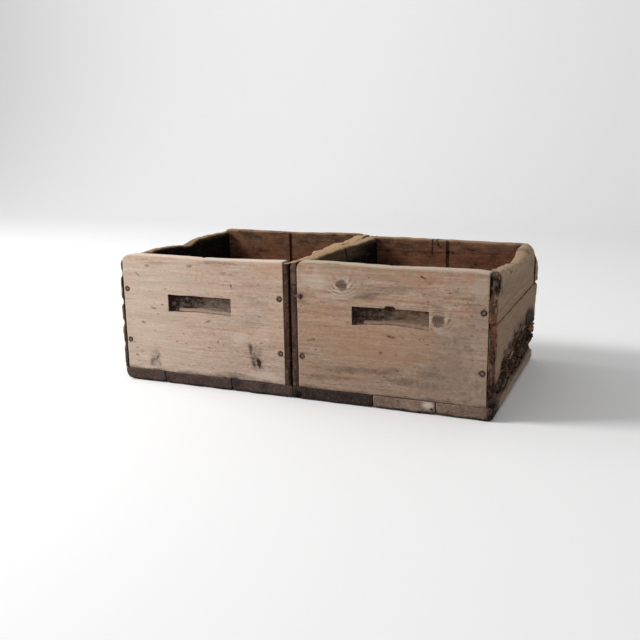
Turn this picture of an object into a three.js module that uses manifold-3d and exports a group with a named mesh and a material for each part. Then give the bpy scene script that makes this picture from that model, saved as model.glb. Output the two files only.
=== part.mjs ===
// Double milk bottle crate: two nailed pine boxes standing side by side and nailed to each other.
// Millimetres, +X across the two boxes, +Y to the back, +Z up, origin under the middle of the floor.
import * as THREE from 'three';
import { mergeVertices } from 'three/addons/utils/BufferGeometryUtils.js';
import Module from 'manifold-3d';

const wasm = await Module();
wasm.setup();

// Whole crate
const crateWidth = 618;
const crateDepth = 358;
const crateHeight = 212;
const boxGap = 0.8; // between the two inner side boards
const fit = 0.3; // clearance where two pieces touch

// Boards
const sideThickness = 21;
const panelThickness = 19;
const floorThickness = 19.5;
const lipWidth = 10.3; // end of a side board left standing beside a panel
const wornLipWidth = 6; // the same lip on the thinner, left-hand outer board
const wornSideThickness = 17;
const panelCorner = 7; // worn rounding of the panels' top corners
const sideJointHeight = 139.5; // top of the lower board on the right-hand side
const backJointHeight = 186.5; // top of the lower board at the back of the right-hand box
const floorSeam = 2; // shrinkage gap between floor boards

// Hand-hold cut into the outside of each panel, but not through it
const gripLength = 115;
const gripTop = 150;
const gripBottom = 123;
const gripDepth = 11.5;

// Groove for a loose divider, down the inside of each panel
const grooveWidth = 5.5;
const grooveDepth = 4.5;

// Nails
const nailLength = 46;
const shankRadius = 1.4;
const headRadius = 4.2;
const headThickness = 1.3;
const bentHeadRadius = 3; // the bent nail has lost part of its head
const nailSides = 10;
const panelNailInset = 7.2; // from the panel's end
const panelNailHeights = [69, 154.5];
const narrowBoardNailHeight = 199;
const floorNailInset = 10; // from the floor board's end
const joiningNailLength = 36;

const frontY = -crateDepth / 2;
const backY = crateDepth / 2;
const wallBottom = floorThickness + fit;

const boxes = {
  left: {
    low: -crateWidth / 2,
    high: -boxGap / 2,
    lowLip: wornLipWidth,
    highLip: lipWidth,
    lowSide: wornSideThickness,
    highSide: sideThickness,
    floorJoints: [78, 202],
  },
  right: {
    low: boxGap / 2,
    high: crateWidth / 2,
    lowLip: lipWidth,
    highLip: lipWidth,
    lowSide: sideThickness,
    highSide: sideThickness,
    floorJoints: [130, 225],
  },
};

const colours = {
  palePanel: 0xc2ae9d,
  brownPanel: 0xa68d77,
  dryWood: 0x8f7a64,
  greyWood: 0x6f6353,
  darkWood: 0x4a3b33,
  blackWood: 0x3a302d,
  rust: 0x4b352c,
};

const crate = new THREE.Group();
crate.name = 'milk_bottle_crate';

// A closed mesh as a solid that can be cut and joined.
function toSolid(geometry) {
  const bare = geometry.clone();
  bare.deleteAttribute('normal');
  bare.deleteAttribute('uv');
  const merged = mergeVertices(bare, 1e-4);
  return new wasm.Manifold(
    new wasm.Mesh({
      numProp: 3,
      vertProperties: new Float32Array(merged.attributes.position.array),
      triVerts: new Uint32Array(merged.index.array),
    }),
  );
}

function toGeometry(solid) {
  const mesh = solid.getMesh();
  const geometry = new THREE.BufferGeometry();
  geometry.setAttribute('position', new THREE.BufferAttribute(new Float32Array(mesh.vertProperties), 3));
  geometry.setIndex(new THREE.BufferAttribute(new Uint32Array(mesh.triVerts), 1));
  return geometry;
}

// Box between two corners.
function block(x0, x1, y0, y1, z0, z1) {
  const geometry = new THREE.BoxGeometry(x1 - x0, y1 - y0, z1 - z0);
  geometry.translate((x0 + x1) / 2, (y0 + y1) / 2, (z0 + z1) / 2);
  return toSolid(geometry);
}

// Outline in plan, carried up from z0 to z1.
function raised(outline, z0, z1) {
  const shape = new THREE.Shape(outline.map(([x, y]) => new THREE.Vector2(x, y)));
  const geometry = new THREE.ExtrudeGeometry(shape, { depth: z1 - z0, bevelEnabled: false });
  geometry.translate(0, 0, z0);
  return toSolid(geometry);
}

// Nail lying along +Z with its head's face at the origin.
function nailSolid(length) {
  const head = new THREE.CylinderGeometry(headRadius, headRadius, headThickness, nailSides);
  head.rotateX(Math.PI / 2);
  head.translate(0, 0, headThickness / 2);
  const shankLength = length - headThickness / 2;
  const shank = new THREE.CylinderGeometry(shankRadius, shankRadius * 0.5, shankLength, nailSides);
  shank.rotateX(-Math.PI / 2);
  shank.translate(0, 0, headThickness / 2 + shankLength / 2);
  return toSolid(head).add(toSolid(shank));
}

// Hole for that nail, with the pocket under its head carried out past the wood's face.
function nailHole(length) {
  const pocketDepth = headThickness + fit + 1;
  const pocket = new THREE.CylinderGeometry(headRadius + fit, headRadius + fit, pocketDepth, nailSides);
  pocket.rotateX(Math.PI / 2);
  pocket.translate(0, 0, pocketDepth / 2 - 1);
  const holeLength = length + fit;
  const hole = new THREE.CylinderGeometry(shankRadius + fit, shankRadius * 0.5 + fit, holeLength, nailSides);
  hole.rotateX(-Math.PI / 2);
  hole.translate(0, 0, holeLength / 2);
  return toSolid(pocket).add(toSolid(hole));
}

// Nail with its last stretch standing out of the wood and hammered over towards -X.
function bentNailSolid() {
  const bend = new THREE.CatmullRomCurve3([
    new THREE.Vector3(0, 0, nailLength * 0.75),
    new THREE.Vector3(0, 0, 6),
    new THREE.Vector3(0, 0, 0.4),
    new THREE.Vector3(-1.7, 0, -2.4),
    new THREE.Vector3(-4.6, 0, -3.3),
    new THREE.Vector3(-8.5, 0, -3.4),
  ]);
  const section = new THREE.Shape();
  section.absarc(0, 0, shankRadius, 0, Math.PI * 2);
  const shank = new THREE.ExtrudeGeometry(section, {
    steps: 16,
    extrudePath: bend,
    curveSegments: 5,
    bevelEnabled: false,
  });
  const head = new THREE.CylinderGeometry(bentHeadRadius, bentHeadRadius, headThickness, nailSides);
  head.rotateZ(Math.PI / 2);
  head.translate(-8.6, 0, -3.4);
  return toSolid(shank).add(toSolid(head));
}

// Straight hole that the bent nail was driven into before it bent.
function bentNailHole() {
  const hole = new THREE.CylinderGeometry(shankRadius + fit, shankRadius + fit, nailLength + 10, nailSides);
  hole.rotateX(Math.PI / 2);
  hole.translate(0, 0, nailLength / 2 - 5);
  return toSolid(hole);
}

// Where each nail is driven: the head's face, and the turn that points the shank along its way.
const towardsBack = new THREE.Euler(-Math.PI / 2, 0, 0);
const towardsFront = new THREE.Euler(Math.PI / 2, 0, 0);
const upwards = new THREE.Euler(0, 0, 0);
const towardsLeft = new THREE.Euler(0, -Math.PI / 2, 0);
const nails = [];

function driveNail(name, x, y, z, turn, length = nailLength, bent = false) {
  nails.push({ name, place: new THREE.Vector3(x, y, z), turn, length, bent });
}

function drivePanelNails(boxName) {
  const box = boxes[boxName];
  const ends = [box.low + box.lowLip + fit + panelNailInset, box.high - box.highLip - fit - panelNailInset];
  let front = 0;
  let back = 0;
  for (const z of panelNailHeights) {
    for (const x of ends) {
      front += 1;
      back += 1;
      const bent = boxName === 'right' && x === ends[0] && z === panelNailHeights[1];
      const height = bent ? z + 7 : z;
      driveNail(`${boxName}_front_nail_${front}`, x, frontY, height, towardsBack, nailLength, bent);
      driveNail(`${boxName}_back_nail_${back}`, x, backY, z, towardsFront);
    }
  }
  if (boxName === 'right') {
    for (const x of ends) {
      back += 1;
      driveNail(`right_back_nail_${back}`, x, backY, narrowBoardNailHeight, towardsFront);
    }
  }
}

function floorBoardSpans(box) {
  const edges = [0, ...box.floorJoints, box.high - box.low];
  const spans = [];
  for (let i = 0; i < edges.length - 1; i += 1) {
    const low = box.low + edges[i] + (i > 0 ? floorSeam / 2 : 0);
    const high = box.low + edges[i + 1] - (i < edges.length - 2 ? floorSeam / 2 : 0);
    spans.push([low, high]);
  }
  return spans;
}

// One nail at each end of the outermost floor board, two at each end of the wider ones.
function driveFloorNails(boxName) {
  const box = boxes[boxName];
  const outermost = boxName === 'left' ? 0 : 2;
  let count = 0;
  floorBoardSpans(box).forEach(([low, high], i) => {
    const width = high - low;
    const places = i === outermost ? [low + width * 0.5] : [low + width * 0.25, low + width * 0.75];
    for (const x of places) {
      for (const y of [frontY + floorNailInset, backY - floorNailInset]) {
        count += 1;
        driveNail(`${boxName}_floor_nail_${count}`, x, y, 0.6, upwards);
      }
    }
  });
}

// The right-hand box is nailed to the left-hand one from its inside.
function driveJoiningNails() {
  let count = 0;
  for (const y of [-105, 105]) {
    for (const z of [60, 155]) {
      count += 1;
      const x = boxes.right.low + sideThickness;
      driveNail(`joining_nail_${count}`, x, y, z, towardsLeft, joiningNailLength);
    }
  }
}

function placed(solid, nail) {
  const matrix = new THREE.Matrix4().makeRotationFromEuler(nail.turn).setPosition(nail.place);
  return solid.transform(matrix.elements);
}

function cutNailHoles(solid) {
  let cut = solid;
  for (const nail of nails) {
    const hole = nail.bent ? bentNailHole() : nailHole(nail.length);
    cut = cut.subtract(placed(hole, nail));
  }
  return cut;
}

// A board keeps its own origin at its middle.
function addBoard(name, solid, colour, roughness = 0.9) {
  const geometry = toGeometry(cutNailHoles(solid));
  geometry.computeBoundingBox();
  const middle = geometry.boundingBox.getCenter(new THREE.Vector3());
  geometry.translate(-middle.x, -middle.y, -middle.z);
  geometry.computeVertexNormals();
  const mesh = new THREE.Mesh(
    geometry,
    new THREE.MeshStandardMaterial({ color: colour, roughness, metalness: 0 }),
  );
  mesh.name = name;
  mesh.position.copy(middle);
  crate.add(mesh);
}

function addNail(nail) {
  const solid = nail.bent ? bentNailSolid() : nailSolid(nail.length);
  const geometry = toGeometry(solid);
  geometry.computeVertexNormals();
  const mesh = new THREE.Mesh(
    geometry,
    new THREE.MeshStandardMaterial({ color: colours.rust, roughness: 0.75, metalness: 0.5 }),
  );
  mesh.name = nail.name;
  mesh.position.copy(nail.place);
  mesh.rotation.copy(nail.turn);
  crate.add(mesh);
}

// Side board: rebated at both ends, so that a thin lip covers each panel's end.
function sideBoard(outerX, innerX, lip, z0, z1) {
  const inward = Math.sign(innerX - outerX);
  const lipX = outerX + inward * lip;
  const rebate = panelThickness + fit;
  const outline = [
    [outerX, frontY],
    [lipX, frontY],
    [lipX, frontY + rebate],
    [innerX, frontY + rebate],
    [innerX, backY - rebate],
    [lipX, backY - rebate],
    [lipX, backY],
    [outerX, backY],
  ];
  return raised(outline, z0, z1);
}

// Cutter for a hand-hold: square under its top edge, scooped out towards its lower edge.
function gripCutter(middleX, faceY, inward) {
  const profile = [
    [-2, gripTop],
    [gripDepth, gripTop],
    [gripDepth, gripTop - 9],
    [gripDepth * 0.82, gripTop - 16],
    [gripDepth * 0.4, gripBottom + 3.5],
    [0, gripBottom],
    [-2, gripBottom - 1.5],
  ];
  const shape = new THREE.Shape(profile.map(([depth, z]) => new THREE.Vector2(depth, z)));
  const geometry = new THREE.ExtrudeGeometry(shape, { depth: gripLength, bevelEnabled: false });
  // Drawn in (depth, height), so stand it up and turn it to face into the panel.
  geometry.rotateX(Math.PI / 2);
  geometry.rotateZ(Math.PI / 2);
  if (inward < 0) {
    geometry.rotateZ(Math.PI);
  }
  geometry.translate(middleX - (inward * gripLength) / 2, faceY, 0);
  return toSolid(geometry);
}

// Panel across the front or back of a box, with rounded top corners, hand-hold and divider groove.
function panel(box, faceY, inward, z0, z1, rounded) {
  const x0 = box.low + box.lowLip + fit;
  const x1 = box.high - box.highLip - fit;
  const shape = new THREE.Shape();
  shape.moveTo(x0, z0);
  shape.lineTo(x1, z0);
  if (rounded) {
    shape.lineTo(x1, z1 - panelCorner);
    shape.absarc(x1 - panelCorner, z1 - panelCorner, panelCorner, 0, Math.PI / 2);
    shape.absarc(x0 + panelCorner, z1 - panelCorner, panelCorner, Math.PI / 2, Math.PI);
  } else {
    shape.lineTo(x1, z1);
    shape.lineTo(x0, z1);
  }
  shape.closePath();
  const geometry = new THREE.ExtrudeGeometry(shape, {
    depth: panelThickness,
    curveSegments: 5,
    bevelEnabled: false,
  });
  geometry.rotateX(Math.PI / 2);
  const nearY = inward > 0 ? faceY + panelThickness : faceY;
  geometry.translate(0, nearY, 0);
  let solid = toSolid(geometry);
  const middleX = (x0 + x1) / 2;
  if (z0 < gripBottom && z1 > gripTop) {
    solid = solid.subtract(gripCutter(middleX, faceY, inward));
  }
  const insideY = faceY + inward * panelThickness;
  const groove = [insideY - inward * grooveDepth, insideY + inward].sort((a, b) => a - b);
  const half = grooveWidth / 2;
  return solid.subtract(block(middleX - half, middleX + half, groove[0], groove[1], z0 - 1, z1 + 1));
}

function buildLeftBox() {
  const box = boxes.left;
  addBoard('left_front_panel', panel(box, frontY, 1, wallBottom, crateHeight, true), colours.palePanel);
  addBoard('left_back_panel', panel(box, backY, -1, wallBottom, crateHeight, true), colours.dryWood);
  addBoard(
    'left_outer_side',
    sideBoard(box.low, box.low + box.lowSide, box.lowLip, wallBottom, crateHeight),
    colours.darkWood,
  );
  addBoard(
    'left_inner_side',
    sideBoard(box.high, box.high - box.highSide, box.highLip, wallBottom, crateHeight),
    colours.darkWood,
  );
}

function buildRightBox() {
  const box = boxes.right;
  addBoard('right_front_panel', panel(box, frontY, 1, wallBottom, crateHeight, true), colours.brownPanel);
  addBoard(
    'right_back_panel_lower',
    panel(box, backY, -1, wallBottom, backJointHeight, false),
    colours.dryWood,
  );
  addBoard(
    'right_back_panel_upper',
    panel(box, backY, -1, backJointHeight + fit, crateHeight, true),
    colours.dryWood,
  );
  addBoard(
    'right_inner_side',
    sideBoard(box.low, box.low + box.lowSide, box.lowLip, wallBottom, crateHeight),
    colours.darkWood,
  );
  addBoard(
    'right_outer_side_lower',
    sideBoard(box.high, box.high - box.highSide, box.highLip, wallBottom, sideJointHeight),
    colours.greyWood,
  );
  addBoard(
    'right_outer_side_upper',
    sideBoard(box.high, box.high - box.highSide, box.highLip, sideJointHeight + fit, crateHeight),
    colours.greyWood,
  );
}

// Floor boards run from front to back under the walls.
function buildFloor(boxName) {
  floorBoardSpans(boxes[boxName]).forEach(([low, high], i) => {
    const board = block(low, high, frontY, backY, 0, floorThickness);
    addBoard(`${boxName}_floor_board_${i + 1}`, board, colours.blackWood);
  });
}

for (const boxName of Object.keys(boxes)) {
  drivePanelNails(boxName);
  driveFloorNails(boxName);
}
driveJoiningNails();
buildLeftBox();
buildRightBox();
buildFloor('left');
buildFloor('right');
nails.forEach(addNail);

export default crate;
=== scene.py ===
import math
import bpy
import numpy as np
from mathutils import Matrix, Vector


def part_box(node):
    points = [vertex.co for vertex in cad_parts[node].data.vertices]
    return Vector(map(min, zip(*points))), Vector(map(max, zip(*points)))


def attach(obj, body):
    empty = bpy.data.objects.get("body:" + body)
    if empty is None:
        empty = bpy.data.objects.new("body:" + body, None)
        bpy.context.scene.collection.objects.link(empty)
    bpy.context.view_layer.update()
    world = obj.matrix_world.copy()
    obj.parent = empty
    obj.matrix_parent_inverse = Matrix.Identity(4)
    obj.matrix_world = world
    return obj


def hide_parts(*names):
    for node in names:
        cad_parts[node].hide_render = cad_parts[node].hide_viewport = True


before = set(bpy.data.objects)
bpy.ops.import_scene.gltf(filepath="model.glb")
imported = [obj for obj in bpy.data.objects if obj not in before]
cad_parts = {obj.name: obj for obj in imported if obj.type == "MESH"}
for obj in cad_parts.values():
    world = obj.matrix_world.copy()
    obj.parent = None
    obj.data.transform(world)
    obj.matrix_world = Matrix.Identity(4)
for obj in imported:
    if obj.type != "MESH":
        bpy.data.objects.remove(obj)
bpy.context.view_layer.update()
print("frame loaded:", len(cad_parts), "nodes")

toMetres = 0.001  # lengths are in millimetres until a mesh is made


def smooth(low, high, value):
    t = np.clip((value - low) / (high - low), 0, 1)
    return t * t * (3 - 2 * t)


def cloud(points, size, seed, octaves=1):
    # Seeded value noise from -1 to 1; size is the blob size along x, y and z
    total = np.zeros(len(points))
    weight = 1.0
    for octave in range(octaves):
        q = points / np.array(size, float) * 2 ** octave + seed * 7.31 + octave * 3.7
        cell = np.floor(q).astype(np.int64)
        f = q - cell
        f = f * f * (3 - 2 * f)
        for corner in range(8):
            step = np.array([corner & 1, corner >> 1 & 1, corner >> 2 & 1])
            h = (cell + step) @ np.array([73856093, 19349663, 83492791])
            h = (h + seed * 2654435761) & 0xffffffff
            h = ((h ^ h >> 15) * 2246822519) & 0xffffffff
            h = ((h ^ h >> 13) * 3266489917) & 0xffffffff
            value = ((h ^ h >> 16) & 0xffff) / 32767.5 - 1
            total += weight * value * np.prod(np.where(step, f, 1 - f), axis=1)
        weight *= 0.5
    return total


def along(points, axis, pairs):
    # Value that follows a broken line along one axis
    places, values = zip(*pairs)
    return np.interp(points[:, axis], places, values)


def ticks(low, high, step, fine, marks=()):
    # Positions from low to high, closer together beside the ends and the marks
    stops = sorted({low, high, *[m for m in marks if low + 0.2 < m < high - 0.2]})
    found = [low]
    for a, b in zip(stops, stops[1:]):
        half, gap = [0.0], fine
        while half[-1] + gap < (b - a) / 2:
            half.append(half[-1] + gap)
            gap = min(gap * 1.3, step)
        half.append((b - a) / 2)
        if len(half) > 2 and half[-1] - half[-2] < fine * 0.6:
            half.pop(-2)
        found += [a + h for h in half[1:]] + [b - h for h in reversed(half[:-1])]
    return np.array(found)


def skinOf(xs, ys, zs, filled):
    # The outer faces of a grid's filled cells, as points and quads that face outwards
    mids = [(t[1:] + t[:-1]) / 2 for t in (xs, ys, zs)]
    cx, cy, cz = np.meshgrid(*mids, indexing="ij")
    solid = np.pad(filled(cx, cy, cz), 1)
    shape = (len(xs), len(ys), len(zs))
    quads = []
    for axis in range(3):
        u, v = (axis + 1) % 3, (axis + 2) % 3
        ahead = np.take(solid, range(1, solid.shape[axis]), axis)
        behind = np.take(solid, range(0, solid.shape[axis] - 1), axis)
        for wall, turned in ((behind & ~ahead, False), (ahead & ~behind, True)):
            base = np.argwhere(wall)
            base[:, u] -= 1
            base[:, v] -= 1
            corners = []
            for du, dv in ((0, 0), (1, 0), (1, 1), (0, 1)):
                c = base.copy()
                c[:, u] += du
                c[:, v] += dv
                corners.append(np.ravel_multi_index(c.T, shape))
            if turned:
                corners.reverse()
            quads.append(np.stack(corners, 1))
    quads = np.concatenate(quads)
    used, quads = np.unique(quads, return_inverse=True)
    kept, quads = largestSkin(quads.reshape(-1, 4), len(used))
    i, j, k = np.unravel_index(used[kept], shape)
    return np.stack([xs[i], ys[j], zs[k]], 1), quads


def largestSkin(quads, count):
    # Leaves out crumbs that float free and voids that are closed in: the points kept, and the faces
    label = np.arange(count)
    while True:
        lower = label.copy()
        np.minimum.at(lower, quads.ravel(), np.repeat(label[quads].min(1), 4))
        lower = lower[lower]
        if (lower == label).all():
            break
        label = lower
    mine = label[quads[:, 0]]
    kept, quads = np.unique(quads[mine == np.bincount(mine).argmax()], return_inverse=True)
    return kept, quads.reshape(-1, 4)


def normalsOf(points, quads):
    a, b, c, d = (points[quads[:, n]] for n in range(4))
    flat = np.cross(c - a, d - b)
    total = np.zeros_like(points)
    for n in range(4):
        np.add.at(total, quads[:, n], flat)
    return total / np.maximum(np.linalg.norm(total, axis=1), 1e-9)[:, None]


def settle(points, field, rounds=3):
    # Moves the points onto the surface where the field is zero
    probe = 0.15
    for _ in range(rounds):
        d = field(points)
        slope = np.zeros_like(points)
        for axis in range(3):
            step = np.zeros(3)
            step[axis] = probe
            slope[:, axis] = (field(points + step) - field(points - step)) / (2 * probe)
        size = np.maximum((slope ** 2).sum(1), 0.25)
        move = np.clip(d / size, -3, 3)
        points = points - slope * move[:, None]
    return points


def slab(points, low, high, radius):
    # Signed distance to a box with rounded edges
    q = np.abs(points - (low + high) / 2) - (high - low) / 2 + radius[:, None]
    outside = np.linalg.norm(np.maximum(q, 0), axis=1)
    return outside + np.minimum(q.max(1), 0) - radius


def softMax(a, b, width):
    h = np.clip(0.5 + 0.5 * (a - b) / width, 0, 1)
    return b + (a - b) * h + width * h * (1 - h)


def sound(field, cx, cy, cz, slack=1.5):
    # Which cells of a grid are still wood
    centres = np.stack([cx.ravel(), cy.ravel(), cz.ravel()], 1)
    return (field(centres) < slack).reshape(cx.shape)


def bitten(d, points, bites):
    # Chips and broken places, each an ellipsoid taken out of the wood
    for x, y, z, rx, ry, rz in bites:
        q = (points - np.array([x, y, z])) / np.array([rx, ry, rz])
        d = softMax(d, -(np.linalg.norm(q, axis=1) - 1) * min(rx, ry, rz), 0.8)
    return d


def spot(a, b, centre, size, turn=0.0):
    # Soft blot in two coordinates, 1 at its middle
    c, s = math.cos(math.radians(turn)), math.sin(math.radians(turn))
    u = ((a - centre[0]) * c + (b - centre[1]) * s) / size[0]
    v = ((b - centre[1]) * c - (a - centre[0]) * s) / size[1]
    return 1 - smooth(0.35, 1.15, np.sqrt(u * u + v * v))


def boxOf(node):
    low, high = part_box(node)
    return np.array(low) * 1000, np.array(high) * 1000


def meshObject(name, points, faces, material):
    mesh = bpy.data.meshes.new(name)
    mesh.from_pydata(points, [], faces)
    mesh.validate()
    mesh.polygons.foreach_set("use_smooth", [True] * len(mesh.polygons))
    mesh.materials.append(material)
    made = bpy.data.objects.new(name, mesh)
    bpy.context.scene.collection.objects.link(made)
    return made


def meshPiece(name, points, faces, material, paints, slotName, *nodes):
    # A visible piece in the place of its solids, with its paints as attributes of the points
    piece = meshObject(name, (points * toMetres).tolist(), faces, material)
    for paint, values in paints.items():
        layer = piece.data.attributes.new(paint, "FLOAT", "POINT")
        layer.data.foreach_set("value", np.clip(values, 0, 1).astype(np.float32))
    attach(piece, "root")
    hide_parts(*nodes)


def linearColour(code):
    # Screen colour such as "c4b2a2" as linear light
    parts = [int(code[i:i + 2], 16) / 255 for i in (0, 2, 4)]
    return tuple(c / 12.92 if c <= 0.04045 else ((c + 0.055) / 1.055) ** 2.4 for c in parts)


class Wire:
    # A node's output that can be used in sums
    def __init__(self, shader, socket):
        self.shader = shader
        self.socket = socket

    def math(self, operation, *values):
        return self.shader.node("ShaderNodeMath", {"operation": operation}, dict(enumerate(values)))

    def __add__(self, other):
        return self.math("ADD", self, other)

    def __sub__(self, other):
        return self.math("SUBTRACT", self, other)

    def __mul__(self, other):
        return self.math("MULTIPLY", self, other)

    def __truediv__(self, other):
        return self.math("DIVIDE", self, other)

    def __rsub__(self, other):
        return self.math("SUBTRACT", other, self)

    def __pow__(self, other):
        return self.math("POWER", self, other)

    __radd__ = __add__
    __rmul__ = __mul__

    def root(self):
        return self.math("SQRT", self)

    def fraction(self):
        return self.math("FRACT", self)

    def between(self, low, high):
        # 0 below low, 1 above high, smooth in between
        settings = {"interpolation_type": "SMOOTHSTEP"}
        return self.shader.node("ShaderNodeMapRange", settings, {0: self, 1: low, 2: high})


class Shader:
    def __init__(self, name):
        self.material = bpy.data.materials.new(name)
        self.material.use_nodes = True
        self.tree = self.material.node_tree
        self.tree.nodes.clear()

    def node(self, kind, settings=None, sockets=None, out=0):
        made = self.tree.nodes.new(kind)
        for key, value in (settings or {}).items():
            if key == "stops":
                ramp = made.color_ramp.elements
                while len(ramp) < len(value):
                    ramp.new(0.5)
                for element, (place, code) in zip(ramp, value):
                    element.position = place
                    element.color = (*linearColour(code), 1)
            else:
                setattr(made, key, value)
        for key, value in (sockets or {}).items():
            if isinstance(value, Wire):
                self.tree.links.new(value.socket, made.inputs[key])
            else:
                made.inputs[key].default_value = value
        return Wire(self, made.outputs[out]) if made.outputs else None

    def paint(self, name):
        return self.node("ShaderNodeAttribute", {"attribute_name": name}, out="Fac")

    def noise(self, place, scale, detail=2.0, rough=0.5):
        sockets = {"Vector": place, "Scale": scale, "Detail": detail, "Roughness": rough}
        return self.node("ShaderNodeTexNoise", {"normalize": True}, sockets)

    def vector(self, x, y, z):
        return self.node("ShaderNodeCombineXYZ", None, {0: x, 1: y, 2: z})

    def mix(self, share, first, second):
        # From one colour to the other, which is a wire or a screen colour's code
        settings = {"data_type": "RGBA", "blend_type": "MIX", "clamp_factor": True}
        if not isinstance(second, Wire):
            second = (*linearColour(second), 1)
        return self.node("ShaderNodeMix", settings, {0: share, 6: first, 7: second}, out=2)

    def surface(self, sockets):
        shine = self.node("ShaderNodeBsdfPrincipled", None, sockets)
        self.node("ShaderNodeOutputMaterial", None, {"Surface": shine})
        return self.material


def makeWood(name, look):
    # Bare weathered softwood: growth rings round a pith, fibres, specks and each board's painted wear and
    # painted shade
    s = Shader(name)
    place = s.node("ShaderNodeTexCoord", out="Object")
    x, y, z = (s.node("ShaderNodeSeparateXYZ", None, {0: place}, out=n) * 1000 for n in range(3))
    run, across, deep = {"x": (x, z, y), "y": (y, z, x), "flat": (y, x, z)}[look["grain"]]
    shift = look["seed"] * 137.0

    def cells(long, wide, detail, rough=0.6):
        return s.noise(s.vector(run / long + shift, across / wide, deep / wide), 1.0, detail, rough)

    # slow wander of the trunk, so the rings make long arches on a face
    wander = cells(260, 120, 2.0) - 0.5
    offAcross = across - look["pith"][0] + wander * 46 + (cells(70, 34, 2.0) - 0.5) * 9
    offDeep = deep - look["pith"][1] + wander * 30
    radius = (offAcross * offAcross + offDeep * offDeep).root()
    ragged = cells(9, 7, 2.0) - 0.5
    swirl, core, rim, halo = 0.0, 0.0, 0.0, 0.0
    for kx, kz, size in look["knots"]:
        # rings bend out round a knot, which is dark with a thin black rim and a pale collar
        far = (((x - kx) / size) ** 2 + ((z - kz) / (size * 0.92)) ** 2).root() + ragged * 0.35
        bend = 1 - far.between(0.6, 3.2)
        radius = radius + bend * size * 1.1
        swirl = bend + swirl
        knotRings = (far * 3.2 + ragged).fraction().between(0.2, 0.9)
        core = (1 - far.between(0.75, 1.05)) * (0.72 + knotRings * 0.45) + core
        rim = far.between(0.82, 0.98) * (1 - far.between(1.0, 1.16)) + rim
        halo = far.between(1.05, 1.2) * (1 - far.between(1.3, 1.6)) * ragged.between(-0.12, 0.1) + halo
    ring = (radius / look["ringWidth"]).fraction()
    late = ring.between(0.3, 0.9) - ring.between(0.92, 1.0) - 0.35
    strength = cells(150, 40, 1.0).between(0.35, 0.65) * 0.8 + 0.2 + swirl * (2.4 + ragged * 6)
    fibre = cells(28, 1.7, 3.0) - 0.5
    streak = cells(95, 4.5, 3.0) - 0.5
    hair = cells(8, 0.55, 2.0) - 0.5
    blotch, blush = cells(44, 26, 4.0), cells(60, 22, 3.0)
    veins = cells(46, 2.6, 3.0)
    mottle = cells(6, 4.4, 4.0, 0.75) - 0.5
    grit = cells(2.6, 1.9, 2.0) - 0.5
    speck = cells(7.5, 3.0, 1.0).between(look["specks"][0], look["specks"][1])
    worn, dirt, pale, soot = s.paint("worn"), s.paint("dirt"), s.paint("pale"), s.paint("soot")
    warm, stain, endGrain = s.paint("warm"), s.paint("stain"), s.paint("endGrain")

    tone = (late * strength * (swirl * 0.05 + look["ringTone"])
            + fibre * look["fibreTone"] + streak * look["streakTone"]
            + hair * 0.3 + mottle * look["mottleTone"] + grit * look["gritTone"] + 0.45)
    colour = s.node("ShaderNodeValToRGB", {"stops": look["stops"]}, {0: tone})
    colour = s.mix(blotch.between(0.40, 0.70) * look["greyShare"], colour, look["greyTint"])
    colour = s.mix(blush.between(0.45, 0.75) * look["blushShare"], colour, look["blushTint"])
    colour = s.mix(veins.between(0.60, 0.72) * look["veinShare"], colour, look["veinTint"])
    colour = s.mix(speck * look["speckShare"], colour, look["darkTint"])
    if look["knots"]:
        colour = s.mix(halo * (0.3 + mottle * 0.8), colour, look["paleTint"])
        colour = s.mix(core * (1.0 + mottle * 0.9), colour, look["knotTint"])
        colour = s.mix(rim * (0.35 + mottle * 2), colour, look["darkTint"])
    # end grain is darker, mottled and fibrous up and down
    endTone = late * 0.12 + mottle * 0.9 + grit * 0.8 + (blotch - 0.5) * 0.9 + 0.5
    ends = s.node("ShaderNodeValToRGB", {"stops": look["endStops"]}, {0: endTone})
    colour = s.mix(endGrain * look["endShare"], colour, ends)
    colour = s.mix(warm * (look["warmShare"] + fibre * 0.8 + mottle * 0.5), colour, look["warmTint"])
    colour = s.mix(pale * (0.6 + mottle * 0.9 + fibre * 0.6), colour, look["paleTint"])
    # smeared grey, as from handling and soft pencil
    colour = s.mix(soot * (0.75 + mottle * 1.1 + soot * 0.2), colour, look["sootTint"])
    # dirt and painted shade lie unevenly: more in the soft wood and the hollows
    patchy = dirt * (0.55 + mottle * 1.5 + fibre * 0.7 + grit * 0.6 + dirt * 0.5)
    colour = s.mix(patchy, colour, look["darkTint"])
    colour = s.mix(stain * (0.7 + mottle * 1.4 + stain * 0.35), colour, look["stainTint"])
    colour = s.mix(worn * (0.6 + mottle * 1.5 + fibre * 0.6), colour, look["wornTint"])

    relief = late * 0.15 + fibre * 0.6 + hair * 0.2 + grit * 0.25 - speck * 0.5 + mottle * (0.3 + dirt)
    bump = s.node("ShaderNodeBump", None, {
        "Strength": look["bump"], "Distance": 0.0009, "Height": relief})
    return s.surface({"Base Color": colour, "Roughness": 0.84 + fibre * 0.2 + dirt * 0.08,
                      "Normal": bump, "Specular IOR Level": look["gloss"]})


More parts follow.
